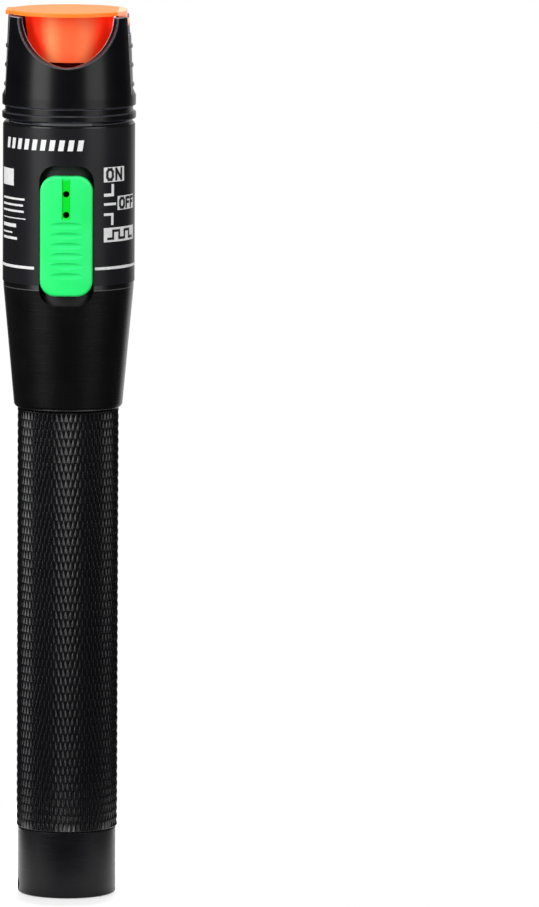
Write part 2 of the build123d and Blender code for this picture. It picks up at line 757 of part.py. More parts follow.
# Collimating lens: crowned on both faces, with a flat rim
lens_top = lens_base + lens_rim + 2 * lens_crown
with BuildPart() as collimating_lens:
    with BuildSketch(Plane.XZ):
        with BuildLine():
            ThreePointArc((-lens_ring_hole, lens_base + lens_crown), (0, lens_base),
                          (lens_ring_hole, lens_base + lens_crown))
            Polyline((lens_ring_hole, lens_base + lens_crown),
                     (lens_radius, lens_base + lens_crown),
                     (lens_radius, lens_top - lens_crown),
                     (lens_ring_hole, lens_top - lens_crown))
            ThreePointArc((lens_ring_hole, lens_top - lens_crown), (0, lens_top),
                          (-lens_ring_hole, lens_top - lens_crown))
            Polyline((-lens_ring_hole, lens_top - lens_crown),
                     (-lens_radius, lens_top - lens_crown),
                     (-lens_radius, lens_base + lens_crown),
                     (-lens_ring_hole, lens_base + lens_crown))
        make_face()
        split(bisect_by=Plane.YZ, keep=Keep.TOP)
    revolve(axis=Axis.Z)
save(collimating_lens.part, "collimating_lens")

# Lens ring: clamps the lens in the barrel
with BuildPart() as lens_ring:
    with BuildSketch(Plane.XY.offset(lens_top - lens_crown)):
        Circle(lens_radius)
        Circle(lens_ring_hole, mode=Mode.SUBTRACT)
    extrude(amount=lens_ring_height)
save(lens_ring.part, "lens_ring")

# Port body: holds the barrel below and the ferrule sleeve above
with BuildPart() as port_body:
    with BuildSketch(Plane.XZ):
        with BuildLine():
            Polyline((barrel_radius + turned_gap, port_base),
                     (port_flange_radius, port_base),
                     (port_flange_radius, port_seat),
                     (port_radius, port_seat),
                     (port_radius, nose_floor_base),
                     (port_neck_radius, nose_floor_base),
                     (port_neck_radius, nut_top + nut_stand),
                     (port_nose_radius, nut_top + nut_stand),
                     (port_nose_radius, port_top - port_edge),
                     (port_nose_radius - port_edge, port_top),
                     (port_mouth_radius + port_mouth_flare, port_top),
                     (port_mouth_radius, port_mouth_base),
                     (sleeve_radius + turned_gap, port_mouth_base),
                     (sleeve_radius + turned_gap, sleeve_base),
                     (port_aperture_radius, sleeve_base),
                     (port_aperture_radius, barrel_top + turned_gap),
                     (barrel_radius + turned_gap, barrel_top + turned_gap),
                     close=True)
        make_face()
    revolve(axis=Axis.Z)
save(port_body.part, "port_body")

# Ferrule sleeve: a slit ceramic tube
with BuildPart() as ferrule_sleeve:
    with BuildSketch(Plane.XY.offset(sleeve_base)):
        Circle(sleeve_radius)
        Circle(ferrule_radius, mode=Mode.SUBTRACT)
        with Locations((0, sleeve_radius)):
            Rectangle(sleeve_slit, sleeve_radius, mode=Mode.SUBTRACT)
    extrude(amount=sleeve_length)
save(ferrule_sleeve.part, "ferrule_sleeve")

# Port nut: clamps the nose housing down on the collar
with BuildPart() as port_nut:
    with BuildSketch(Plane.XY.offset(nose_floor_top)):
        RegularPolygon(nut_radius, 6)
        Circle(port_neck_radius + turned_gap, mode=Mode.SUBTRACT)
    extrude(amount=nut_height)
save(port_nut.part, "port_nut")

# Nose collar: the ring between shell and nose, with its key tab in front
with BuildPart() as nose_collar:
    with BuildSketch(Plane.XZ):
        with BuildLine():
            Polyline((port_radius + turned_gap, port_seat),
                     (shell_bore_radius - turned_gap, port_seat),
                     (shell_bore_radius - turned_gap, shell_top),
                     (collar_gap_radius, shell_top),
                     (collar_gap_radius, ring_base),
                     (collar_ring_radius - collar_edge, ring_base),
                     (collar_ring_radius, ring_base + collar_edge),
                     (collar_ring_radius, ring_top - collar_edge),
                     (collar_ring_radius - collar_edge, ring_top),
                     (collar_neck_radius, ring_top),
                     (collar_neck_radius, nose_base),
                     (collar_socket_radius, nose_base),
                     (collar_socket_radius, nose_floor_base - collar_socket_gap),
                     (port_radius + turned_gap, nose_floor_base - collar_socket_gap),
                     close=True)
        make_face()
    revolve(axis=Axis.Z)
    with BuildSketch(Plane.XY.offset(shell_top)):
        Circle(shell_radius)
        Circle(collar_socket_radius, mode=Mode.SUBTRACT)
        with Locations((0, -shell_radius)):
            Rectangle(collar_key_width, 2 * shell_radius, mode=Mode.INTERSECT)
    extrude(amount=collar_gap)
save(nose_collar.part, "nose_collar")


def mouth_section(reach):
    """The round cut-out's outline at a distance in front of the axis.

    Each edge point lies on a level line from the axis through the same point
    of the housing's outer wall, so the cut meets the wall squarely.
    """
    with BuildSketch(Plane.XZ.offset(reach)) as section:
        with BuildLine():
            rim = []
            for step in range(7):
                turn = pi / 2 * step / 6
                rim_x = mouth_radius * sin(turn)
                spread = reach / sqrt(nose_top_radius ** 2 - rim_x ** 2)
                rim.append((rim_x * spread, nose_top - mouth_depth * cos(turn)))
            right = Spline(*rim, tangents=((1, 0), (0, 1)), tangent_scalars=(1, 1))
            left = Spline(*[(-x, z) for x, z in rim], tangents=((-1, 0), (0, 1)),
                          tangent_scalars=(1, 1))
            Polyline(right @ 1, (rim[-1][0], nose_top + overcut),
                     (-rim[-1][0], nose_top + overcut), left @ 1)
        make_face()
    return section.sketch


# Mouth tool: widens from inside the bore to outside the wall
with BuildPart() as mouth_tool:
    add(mouth_section(nose_bore_radius / 3))
    add(mouth_section(nose_radius + overcut))
    loft(ruled=True)

# Flank tool: what is taken off a flank, leaving its three ribs
flank_base = nose_base + nose_band
flank_floor = flank_base + flank_run_out
with BuildPart() as flank_tool:
    with Locations((0, 0, flank_base)):
        Box(2 * (nose_radius + overcut), 2 * flank_half_width, nose_length,
            align=(Align.CENTER, Align.CENTER, Align.MIN))
    with BuildSketch(Plane.XZ):
        with BuildLine():
            flank_slope = (flank_foot_radius - flank_top_radius) / (nose_top - flank_floor)
            Polyline((0, flank_base - overcut), (nose_radius, flank_base - overcut),
                     (nose_radius, flank_base), (flank_foot_radius, flank_floor))
            last = (flank_foot_radius, flank_floor)
            for rib in range(flank_rib_count):
                rib_z = nose_base + flank_first_rib + rib * flank_rib_pitch
                low_z = rib_z - flank_rib_half_width
                high_z = rib_z + flank_rib_half_width
                low = (flank_foot_radius - flank_slope * (low_z - flank_floor), low_z)
                high = (flank_foot_radius - flank_slope * (high_z - flank_floor), high_z)
                Line(last, low)
                ThreePointArc(low, ((low[0] + high[0]) / 2 + flank_rib_height, rib_z), high)
                last = high
            Polyline(last, (flank_top_radius, nose_top),
                     (flank_top_radius, nose_top + nose_length),
                     (0, nose_top + nose_length), (0, flank_base - overcut))
        make_face()
    revolve(axis=Axis.Z, mode=Mode.SUBTRACT)

# Nose housing: a cup with two round cut-outs, ribbed flanks, and hinge ears over a sill
with BuildPart() as nose_housing:
    with BuildSketch(Plane.XZ):
        with BuildLine():
            Polyline((collar_socket_radius + turned_gap, nose_base),
                     (nose_radius - nose_edge, nose_base),
                     (nose_radius, nose_base + nose_edge),
                     (nose_radius, nose_base + nose_band),
                     (nose_top_radius, nose_top),
                     (nose_bore_radius, nose_top),
                     (nose_bore_radius, nose_floor_top),
                     (port_neck_radius + turned_gap, nose_floor_top),
                     (port_neck_radius + turned_gap, nose_floor_base),
                     (collar_socket_radius + turned_gap, nose_floor_base),
                     close=True)
        make_face()
    revolve(axis=Axis.Z)
    add(mouth_tool.part, mode=Mode.SUBTRACT)
    add(mirror(mouth_tool.part, about=Plane.XZ, mode=Mode.PRIVATE), mode=Mode.SUBTRACT)
    rims = nose_housing.edges().filter_by(GeomType.BSPLINE).sort_by(SortBy.LENGTH)
    chamfer(rims[-2:], mouth_edge)
    add(flank_tool.part, mode=Mode.SUBTRACT)
    ear_y = flank_half_width + hinge_ear_depth / 2
    with Locations((hinge_x - hinge_ear_reach / 2, ear_y, hinge_z),
                   (hinge_x - hinge_ear_reach / 2, -ear_y, hinge_z)):
        Box(hinge_ear_reach, hinge_ear_depth, 2 * hinge_ear_half_height)
    with Locations((hinge_x, 0, nose_top)):
        Box(2 * (nose_radius - hinge_x + hinge_ear_reach), 2 * flank_half_width,
            2 * hinge_notch_depth, mode=Mode.SUBTRACT)
    with BuildSketch(Plane.XY.offset(notch_floor - hinge_sill_foot)):
        Circle(nose_bore_radius + hinge_sill_root)
        with Locations((hinge_x - hinge_sill_reach, 0)):
            Rectangle(nose_radius, 2 * flank_half_width, align=(Align.MIN, Align.CENTER),
                      mode=Mode.INTERSECT)
    extrude(amount=hinge_sill_foot)
    with Locations((hinge_x - hinge_sill_reach, 0, notch_floor - hinge_sill_foot)):
        Box(hinge_sill_wall, 2 * flank_half_width, sill_top - notch_floor + hinge_sill_foot,
            align=(Align.MIN, Align.CENTER, Align.MIN))
    with Locations((hinge_x, 0, hinge_z)):
        Cylinder(hinge_pin_radius + turned_gap / 2, 2 * (hinge_pin_half_length + turned_gap),
                 rotation=(90, 0, 0), mode=Mode.SUBTRACT)
save(nose_housing.part, "nose_housing")

# Hinge pin across the notch
with BuildPart() as hinge_pin:
    with Locations((hinge_x, 0, hinge_z)):
        Cylinder(hinge_pin_radius, 2 * hinge_pin_half_length, rotation=(90, 0, 0))
save(hinge_pin.part, "hinge_pin")

# Dust cap: a soft disc with a sealing cup, a thumb tab and a hinge knuckle
leaf_half_width = flank_half_width - standing_gap
with BuildPart() as dust_cap:
    with BuildSketch(Plane.XY.offset(cap_base)):
        Circle(cap_radius)
        with Locations((-cap_tab_reach / 2, 0)):
            RectangleRounded(cap_tab_reach, cap_tab_width, cap_tab_corner)
    extrude(amount=cap_thickness)
    fillet(dust_cap.faces().sort_by(Axis.Z)[-1].edges(), cap_edge)
    with Locations((cap_hinge_side + cap_radius, 0, cap_base)):
        Box(2 * cap_radius, 2 * cap_radius, 4 * cap_thickness, mode=Mode.SUBTRACT)
    with BuildSketch(Plane.XZ):
        with BuildLine():
            Polyline((cap_cup_radius - cap_cup_wall, cap_base),
                     (cap_cup_radius, cap_base),
                     (cap_cup_foot_radius, cup_foot),
                     (cap_cup_foot_radius - cap_cup_wall, cup_foot),
                     close=True)
        make_face()
    revolve(axis=Axis.Z)
    with Locations((hinge_x, 0, hinge_z)):
        Cylinder(hinge_knuckle_radius, 2 * leaf_half_width, rotation=(90, 0, 0))
    with Locations((cap_hinge_side, 0, hinge_z)):
        Box(hinge_leaf, 2 * leaf_half_width, hinge_drop,
            align=(Align.MAX, Align.CENTER, Align.MIN))
    with Locations((hinge_x, 0, hinge_z)):
        Cylinder(hinge_pin_radius + turned_gap, 2 * cap_radius,
                 rotation=(90, 0, 0), mode=Mode.SUBTRACT)
save(dust_cap.part, "dust_cap")
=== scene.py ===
from math import cos, pi, radians, sin

import bmesh
import bpy
from mathutils import Matrix, Vector


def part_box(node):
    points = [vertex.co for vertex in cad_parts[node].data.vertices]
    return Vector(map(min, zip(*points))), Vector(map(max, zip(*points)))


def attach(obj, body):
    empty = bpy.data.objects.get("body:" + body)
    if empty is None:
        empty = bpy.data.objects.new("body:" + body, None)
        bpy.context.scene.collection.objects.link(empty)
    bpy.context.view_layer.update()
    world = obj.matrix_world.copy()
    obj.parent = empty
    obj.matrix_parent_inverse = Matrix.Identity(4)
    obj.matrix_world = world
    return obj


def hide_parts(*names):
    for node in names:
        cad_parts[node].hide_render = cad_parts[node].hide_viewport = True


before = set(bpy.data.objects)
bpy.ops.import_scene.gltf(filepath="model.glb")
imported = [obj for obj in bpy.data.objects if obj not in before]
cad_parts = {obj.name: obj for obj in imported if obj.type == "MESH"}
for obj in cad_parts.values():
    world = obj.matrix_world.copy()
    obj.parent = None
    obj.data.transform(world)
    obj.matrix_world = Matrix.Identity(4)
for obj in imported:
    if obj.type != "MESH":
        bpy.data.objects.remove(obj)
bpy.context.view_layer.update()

# The looks of the visual fault locator. The camera, the lamps and the floor are given
# in metres, as the frame is, and the pieces and the places on them in millimetres.

MM = 0.001
WORLD_UP = Vector((0.0, 0.0, 1.0))


def reach(name):
    """How far a round CAD piece reaches from the pen's axis, in millimetres."""
    return round(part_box(name)[1].x / MM, 3)


def heights(name):
    """The heights of a CAD piece's foot and top above the floor, in millimetres."""
    low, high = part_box(name)
    return round(low.z / MM, 3), round(high.z / MM, 3)


# Camera
camera_lens = 347.4
camera_sensor = 36.0
camera_clip_end = 20.0
camera_distance = 1.716
camera_pitch = radians(7.5)
camera_turn = radians(0.9)
camera_roll = radians(0.36)  # so that the pen leans to the right
camera_aside = 0.0395      # aim point to the right of the pen's axis
camera_height = 0.0871     # and above the floor

# Lamps and white surroundings
box_azimuth = radians(48.5)
box_distance = 0.7
box_foot = 0.045           # above the floor
box_width = 0.42
box_height = 0.9
left_power = 6.4
right_power = 3.7
top_height = 0.9
top_size = 0.35
top_power = 1.6
ambient_front = 0.04       # light from the side that the switch faces
ambient_back = 0.95
ambient_top = 0.9
back_turn = radians(12.0)  # of the bright side from straight behind towards +X
back_fade = (0.8, 0.99)    # cosines of the angle from the bright side's middle
top_fade = (0.3, 0.8)      # sines of the height above the horizon
white = (1.0, 1.0, 1.0)

# Floor
floor_half_width = 0.055
floor_front = 0.03         # the floor ends this far in front of the pen's axis
floor_back = 0.1
floor_drop = 0.00004
floor_paint = 0.6
glow_in_painted_shadow = 0.2           # the glow in the pen's contact shadow, dimmed there as painted shade over the real shadow; 1 outside the fade
painted_shadow_fade = (0.007, 0.018)
painted_shadow_ahead = 0.009       # the middle of the painted contact shadow, in front of the pen's axis

# Battery tube
tube_foot, tube_head = heights("battery_tube")
grip_radius = reach("battery_tube")
grip_base = heights("tail_cap")[1]
grip_top, shell_top = heights("front_shell")
grip_around = 64           # knurl diamonds around the tube
grip_rows = 51             # half steps of the knurl along it
grip_depth = 0.235
grip_share = 0.13          # of half a diamond that its flat top reaches to each side
grip_chamfer = 0.3
grip_inner_radius = 7.9
bore_radius = 7.6
core_wall = 0.4            # of the bore behind the knurl
core_step = 0.2
neck_edge = 0.3
neck_columns = 96
thread_pitch = 1.0
thread_depth = 0.3
thread_rows = 4            # in one pitch
lower_thread = (tube_foot + 0.6, tube_foot + 5.6)
upper_thread = (tube_head - 7.6, tube_head - 0.8)
seal_groove_depth = 0.6
seal_gap = 0.05

# Places on the other pieces
margin = 1.0               # by which a mask passes the end of a piece that it covers
film_radius = reach("label_film")
film_foot = heights("label_film")[0]
# heights of the painted highlight line where the shell's taper begins
taper_highlight_line = (film_foot - 1.08, film_foot - 0.9)
key_half_width = 5.05
key_heights = (shell_top - 0.1, shell_top + 0.65)
nose_foot, nose_top = heights("nose_housing")
mouth_foot = nose_foot + 2.4
knob_top = heights("slide_knob")[1]
channel_half_width = 0.82
channel_heights = (knob_top - 8.35, knob_top - 0.65)
peg_heights = (knob_top - 7.45, knob_top - 3.4)
peg_radius = 0.62
cap_foot, cap_top = heights("dust_cap")
cap_disc_foot = cap_top - 0.85
cap_hinge_side = 9.6       # begins this far to the right of the axis
cap_hinge_foot = cap_top - 4.2
# Across the cup, where its two painted highlight bands lie
cup_left_painted_highlight = (-4.6, -2.0)
cup_right_painted_highlight = (2.2, 4.4)

# Print on the label film
print_stand = 0.035
print_step = 0.5


def mesh_object(name, build, material, smooth_angle=35.0):
    """A new piece from a bmesh that build() fills, in millimetres."""
    shape = bmesh.new()
    build(shape)
    for vertex in shape.verts:
        vertex.co *= MM
    mesh = bpy.data.meshes.new(name)
    shape.to_mesh(mesh)
    shape.free()
    mesh.materials.append(material)
    piece = bpy.data.objects.new(name, mesh)
    bpy.context.scene.collection.objects.link(piece)
    mesh.shade_smooth()
    mesh.set_sharp_from_angle(angle=radians(smooth_angle))
    return piece


# Values that shader nodes work out
def combine(tree, operation, sources):
    """Several values joined by a math operation, such as MAXIMUM or MULTIPLY."""
    value = sources[0]
    for source in sources[1:]:
        joined = tree.nodes.new("ShaderNodeMath")
        joined.operation = operation
        tree.links.new(value, joined.inputs[0])
        tree.links.new(source, joined.inputs[1])
        value = joined.outputs[0]
    return value


def fade(tree, source, first, last, low, high):
    """Goes smoothly from low to high while the source goes from first to last."""
    step = tree.nodes.new("ShaderNodeMapRange")
    step.interpolation_type = "SMOOTHSTEP"
    step.inputs["From Min"].default_value = first
    step.inputs["From Max"].default_value = last
    step.inputs["To Min"].default_value = low
    step.inputs["To Max"].default_value = high
    tree.links.new(source, step.inputs["Value"])
    return step.outputs["Result"]


def any_ray(tree, *kinds):
    """1 for rays of the given kinds, such as Camera, and 0 for all others."""
    path = tree.nodes.new("ShaderNodeLightPath")
    return combine(tree, "MAXIMUM", [path.outputs[f"Is {kind} Ray"] for kind in kinds])


# Camera
def place_camera():
    """A long lens that looks down a little at the pen, at the left of the picture."""
    toward = Vector((sin(camera_turn) * cos(camera_pitch),
                     -cos(camera_turn) * cos(camera_pitch), sin(camera_pitch)))
    across = Vector((cos(camera_turn), sin(camera_turn), 0.0))
    upward = toward.cross(across)
    rolled_across = across * cos(camera_roll) + upward * sin(camera_roll)
    rolled_upward = upward * cos(camera_roll) - across * sin(camera_roll)
    axes = Matrix((rolled_across, rolled_upward, toward)).transposed().to_4x4()
    aim = across * camera_aside + WORLD_UP * camera_height
    data = bpy.data.cameras.new("camera")
    data.lens = camera_lens
    data.sensor_width = camera_sensor
    data.clip_end = camera_clip_end
    camera = bpy.data.objects.new("camera", data)
    camera.matrix_world = Matrix.Translation(aim + toward * camera_distance) @ axes
    bpy.context.scene.collection.objects.link(camera)
    bpy.context.scene.camera = camera


place_camera()
bpy.context.scene.view_settings.view_transform = "Standard"


# Lamps
def area_lamp(name, width, height, power, place):
    """A lamp that shines down the Z axis of its place and that the camera doesn't see."""
    data = bpy.data.lights.new(name, "AREA")
    data.shape = "RECTANGLE"
    data.size = width
    data.size_y = height
    data.energy = power
    lamp = bpy.data.objects.new(name, data)
    lamp.matrix_world = place
    lamp.visible_camera = False
    bpy.context.scene.collection.objects.link(lamp)


def soft_box(name, azimuth, power):
    """A tall softbox that faces the pen's axis; azimuth runs from the front towards +X."""
    away = Vector((sin(azimuth), -cos(azimuth), 0.0))
    middle = away * box_distance + WORLD_UP * (box_foot + box_height / 2)
    facing = away.to_track_quat("Z", "Y").to_matrix().to_4x4()
    area_lamp(name, box_width, box_height, power, Matrix.Translation(middle) @ facing)


soft_box("box_left", -box_azimuth, left_power)
soft_box("box_right", box_azimuth, right_power)
area_lamp("box_top", top_size, top_size, top_power,
          Matrix.Translation(WORLD_UP * top_height))


# Surroundings
def make_surroundings():
    """White to the camera; to the pen, dim in front and bright behind and above."""
    world = bpy.data.worlds.new("surroundings")
    world.use_nodes = True
    bpy.context.scene.world = world
    tree = world.node_tree
    place = tree.nodes.new("ShaderNodeTexCoord")
    parts = tree.nodes.new("ShaderNodeSeparateXYZ")
    tree.links.new(place.outputs["Generated"], parts.inputs["Vector"])
    backward = tree.nodes.new("ShaderNodeVectorMath")
    backward.operation = "DOT_PRODUCT"
    backward.inputs[1].default_value = (sin(back_turn), cos(back_turn), 0.0)
    tree.links.new(place.outputs["Generated"], backward.inputs[0])
    behind = fade(tree, backward.outputs["Value"], *back_fade, ambient_front, ambient_back)
    above = fade(tree, parts.outputs["Z"], *top_fade, ambient_front, ambient_top)

    lighting = tree.nodes["Background"]
    lighting.inputs["Color"].default_value = (*white, 1.0)
    tree.links.new(combine(tree, "MAXIMUM", [behind, above]), lighting.inputs["Strength"])
    backdrop = tree.nodes.new("ShaderNodeBackground")
    backdrop.inputs["Color"].default_value = (*white, 1.0)
    backdrop.inputs["Strength"].default_value = 1.0
    choose = tree.nodes.new("ShaderNodeMixShader")
    tree.links.new(any_ray(tree, "Camera", "Transmission"), choose.inputs[0])
    tree.links.new(lighting.outputs[0], choose.inputs[1])
    tree.links.new(backdrop.outputs[0], choose.inputs[2])
    tree.links.new(choose.outputs[0], tree.nodes["World Output"].inputs["Surface"])


make_surroundings()


# Floor
def floor_white():
    """Pale paint that takes the pen's shadow, under a glow that looks white.

    The glow dims towards the floor's own origin, which paints a contact shadow there.
    """
    material = bpy.data.materials.new("floor_white")
    material.use_nodes = True
    tree = material.node_tree
    tree.nodes.remove(tree.nodes["Principled BSDF"])
    paint = tree.nodes.new("ShaderNodeBsdfDiffuse")
    paint.inputs["Color"].default_value = (floor_paint, floor_paint, floor_paint, 1.0)
    glow = tree.nodes.new("ShaderNodeEmission")
    glow.inputs["Color"].default_value = (*white, 1.0)
    place = tree.nodes.new("ShaderNodeTexCoord")
    away = tree.nodes.new("ShaderNodeVectorMath")
    away.operation = "LENGTH"
    tree.links.new(place.outputs["Object"], away.inputs[0])
    # Painted shadow: the glow is weaker near the floor's origin, in front of the pen's
    # foot
    level = fade(tree, away.outputs["Value"], *painted_shadow_fade, glow_in_painted_shadow, 1.0)
    seen = any_ray(tree, "Camera", "Glossy", "Transmission")
    tree.links.new(combine(tree, "MULTIPLY", [seen, level]), glow.inputs["Strength"])
    total = tree.nodes.new("ShaderNodeAddShader")
    tree.links.new(paint.outputs[0], total.inputs[0])
    tree.links.new(glow.outputs[0], total.inputs[1])
    tree.links.new(total.outputs[0], tree.nodes["Material Output"].inputs["Surface"])
    return material


near_edge = painted_shadow_ahead - floor_front
far_edge = painted_shadow_ahead + floor_back
floor_mesh = bpy.data.meshes.new("floor")
floor_mesh.from_pydata([(-floor_half_width, near_edge, 0.0),
                        (floor_half_width, near_edge, 0.0),
                        (floor_half_width, far_edge, 0.0),
                        (-floor_half_width, far_edge, 0.0)],
                       [], [(0, 1, 2, 3)])
floor_mesh.materials.append(floor_white())
floor = bpy.data.objects.new("floor", floor_mesh)
floor.location = (0.0, -painted_shadow_ahead, -floor_drop)
bpy.context.scene.collection.objects.link(floor)
# The pen stands on its tail, so the floor goes down with the tail as it is unscrewed
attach(floor, "spring")


# Materials
def surface(name, colour, roughness, metallic=0.0, specular=0.5, sockets=None):
    """A principled material; sockets sets further values by their names."""
    material = bpy.data.materials.new(name)
    material.use_nodes = True
    shader = material.node_tree.nodes["Principled BSDF"]
    shader.inputs["Base Color"].default_value = (*colour, 1.0)
    shader.inputs["Roughness"].default_value = roughness
    shader.inputs["Metallic"].default_value = metallic
    shader.inputs["Specular IOR Level"].default_value = specular
    for socket, value in (sockets or {}).items():
        shader.inputs[socket].default_value = value
    return material


def noise(material, scale, stretch=(1.0, 1.0, 1.0)):
    """Noise fixed to the piece, scale in cycles per metre."""
    tree = material.node_tree
    place = tree.nodes.new("ShaderNodeTexCoord")
    mapping = tree.nodes.new("ShaderNodeMapping")
    mapping.inputs["Scale"].default_value = stretch
    texture = tree.nodes.new("ShaderNodeTexNoise")
    texture.inputs["Scale"].default_value = scale
    texture.inputs["Detail"].default_value = 3.0
    tree.links.new(place.outputs["Object"], mapping.inputs["Vector"])
    tree.links.new(mapping.outputs["Vector"], texture.inputs["Vector"])
    return texture.outputs["Fac"]


def feed(material, socket, source):
    """Links a value to one of the shader's sockets."""
    tree = material.node_tree
    tree.links.new(source, tree.nodes["Principled BSDF"].inputs[socket])


def vary_colour(material, source, first, second):
    """Colours the surface from first to second, over the noise's middle third."""
    tree = material.node_tree
    ramp = tree.nodes.new("ShaderNodeValToRGB")
    ramp.color_ramp.elements[0].position = 0.35
    ramp.color_ramp.elements[0].color = (*first, 1.0)
    ramp.color_ramp.elements[1].position = 0.65
    ramp.color_ramp.elements[1].color = (*second, 1.0)
    tree.links.new(source, ramp.inputs["Fac"])
    feed(material, "Base Color", ramp.outputs["Color"])


def vary_roughness(material, source, low, high):
    """Makes the surface smoother and rougher along the noise."""
    tree = material.node_tree
    spread = tree.nodes.new("ShaderNodeMapRange")
    spread.inputs["From Min"].default_value = 0.3
    spread.inputs["From Max"].default_value = 0.7
    spread.inputs["To Min"].default_value = low
    spread.inputs["To Max"].default_value = high
    tree.links.new(source, spread.inputs["Value"])
    feed(material, "Roughness", spread.outputs["Result"])


def add_bump(material, source, height, strength):
    """Bumps of the given height in metres."""
    tree = material.node_tree
    bump = tree.nodes.new("ShaderNodeBump")
    bump.inputs["Strength"].default_value = strength
    bump.inputs["Distance"].default_value = height
    tree.links.new(source, bump.inputs["Height"])
    feed(material, "Normal", bump.outputs["Normal"])


def soften_edges(material, radius):
    """Lets the light catch the edges, as if they were rounded to the radius in metres."""
    tree = material.node_tree
    rounded = tree.nodes.new("ShaderNodeBevel")
    rounded.samples = 6
    rounded.inputs["Radius"].default_value = radius
    target = tree.nodes["Principled BSDF"].inputs["Normal"]
    for node in tree.nodes:
        if node.type == "BUMP":
            target = node.inputs["Normal"]
    tree.links.new(rounded.outputs["Normal"], target)


# Masks: 1 on a part of the surface and 0 elsewhere
def within(material, axis, low, high, blur=0.04):
    """Between two places along an axis of the piece, in millimetres."""
    tree = material.node_tree
    place = tree.nodes.new("ShaderNodeTexCoord")
    parts = tree.nodes.new("ShaderNodeSeparateXYZ")
    tree.links.new(place.outputs["Object"], parts.inputs["Vector"])
    source = parts.outputs[axis]
    return combine(tree, "MULTIPLY", [
        fade(tree, source, (low - blur) * MM, (low + blur) * MM, 0.0, 1.0),
        fade(tree, source, (high - blur) * MM, (high + blur) * MM, 1.0, 0.0)])


def around(material, x, z, radius, blur=0.08):
    """Inside a circle on the piece's front, in millimetres."""
    tree = material.node_tree
    place = tree.nodes.new("ShaderNodeTexCoord")
    flat = tree.nodes.new("ShaderNodeVectorMath")
    flat.operation = "MULTIPLY"
    flat.inputs[1].default_value = (1.0, 0.0, 1.0)
    apart = tree.nodes.new("ShaderNodeVectorMath")
    apart.operation = "DISTANCE"
    apart.inputs[1].default_value = (x * MM, 0.0, z * MM)
    tree.links.new(place.outputs["Object"], flat.inputs[0])
    tree.links.new(flat.outputs["Vector"], apart.inputs[0])
    return fade(tree, apart.outputs["Value"], (radius - blur) * MM, (radius + blur) * MM,
                1.0, 0.0)


def occlusion(material, distance, low, high, inside):
    """Where the surface is surrounded; inside looks into the solid, not away from it."""
    tree = material.node_tree
    look = tree.nodes.new("ShaderNodeAmbientOcclusion")
    look.only_local = True
    look.inside = inside
    look.samples = 8
    look.inputs["Distance"].default_value = distance * MM
    return fade(tree, look.outputs["AO"], low, high, 1.0, 0.0)


def turned_away(material, first, last):
    """Where the surface is seen at a slant."""
    tree = material.node_tree
    slant = tree.nodes.new("ShaderNodeLayerWeight")
    return fade(tree, slant.outputs["Facing"], first, last, 0.0, 1.0)


def overlap(material, *masks):
    """Where all of several masks are 1."""
    return combine(material.node_tree, "MULTIPLY", masks)


def cover_colour(material, mask, colour):
    """Lays another colour over the surface where the mask is 1."""
    tree = material.node_tree
    target = tree.nodes["Principled BSDF"].inputs["Base Color"]
    mix = tree.nodes.new("ShaderNodeMix")
    mix.data_type = "RGBA"
    factor, first, second = mix.inputs[0], mix.inputs[6], mix.inputs[7]
    first.default_value = target.default_value
    if target.is_linked:
        tree.links.new(target.links[0].from_socket, first)
    second.default_value = (*colour, 1.0)
    tree.links.new(mask, factor)
    tree.links.new(mix.outputs[2], target)


turned_lines = (0.02, 0.02, 1.0)

# The shell: gloss black, with a thin painted highlight line where the taper begins
anodised = surface("anodised_gloss", (0.003, 0.003, 0.003), 0.26, specular=0.42)
vary_roughness(anodised, noise(anodised, 5000.0, turned_lines), 0.24, 0.28)
vary_colour(anodised, noise(anodised, 300.0), (0.002, 0.002, 0.0022),
            (0.004, 0.0036, 0.0035))
cover_colour(anodised, within(anodised, "Z", *taper_highlight_line, blur=0.03),
             (0.09, 0.088, 0.09))
soften_edges(anodised, 0.0001)

# The tail cap: a softer black
satin_anodised = surface("anodised_satin", (0.004, 0.004, 0.005), 0.3, specular=0.18)
vary_roughness(satin_anodised, noise(satin_anodised, 6000.0, turned_lines), 0.26, 0.34)
vary_colour(satin_anodised, noise(satin_anodised, 250.0), (0.0035, 0.0035, 0.0045),
            (0.0055, 0.0053, 0.0065))
soften_edges(satin_anodised, 0.00012)

# The battery tube
knurled_anodised = surface("anodised_knurled", (0.003, 0.003, 0.004), 0.22, specular=0.45)
vary_roughness(knurled_anodised, noise(knurled_anodised, 1500.0), 0.17, 0.28)
soften_edges(knurled_anodised, 0.00009)

# The label film
film = surface("film_black", (0.012, 0.0115, 0.014), 0.34, specular=0.18)
vary_colour(film, noise(film, 160.0), (0.011, 0.0105, 0.0125), (0.0135, 0.013, 0.0155))
add_bump(film, noise(film, 2500.0), 0.000004, 0.4)

# The nose: satin black, with painted highlights along its edges, brightest round its
# mouths
moulded = surface("nose_satin", (0.003, 0.003, 0.004), 0.28, specular=0.21)
vary_colour(moulded, noise(moulded, 200.0), (0.0022, 0.0022, 0.003),
            (0.004, 0.004, 0.005))
# Painted highlights on the edges, paler still round the mouths
nose_edge_highlights = occlusion(moulded, distance=0.3, low=0.6, high=0.92, inside=True)
cover_colour(moulded, nose_edge_highlights, (0.2, 0.21, 0.25))
mouth_edge_highlights = overlap(moulded, nose_edge_highlights,
                      within(moulded, "Z", mouth_foot, nose_top + margin))
cover_colour(moulded, mouth_edge_highlights, (0.42, 0.42, 0.48))
add_bump(moulded, noise(moulded, 3500.0), 0.000006, 0.5)
soften_edges(moulded, 0.0002)

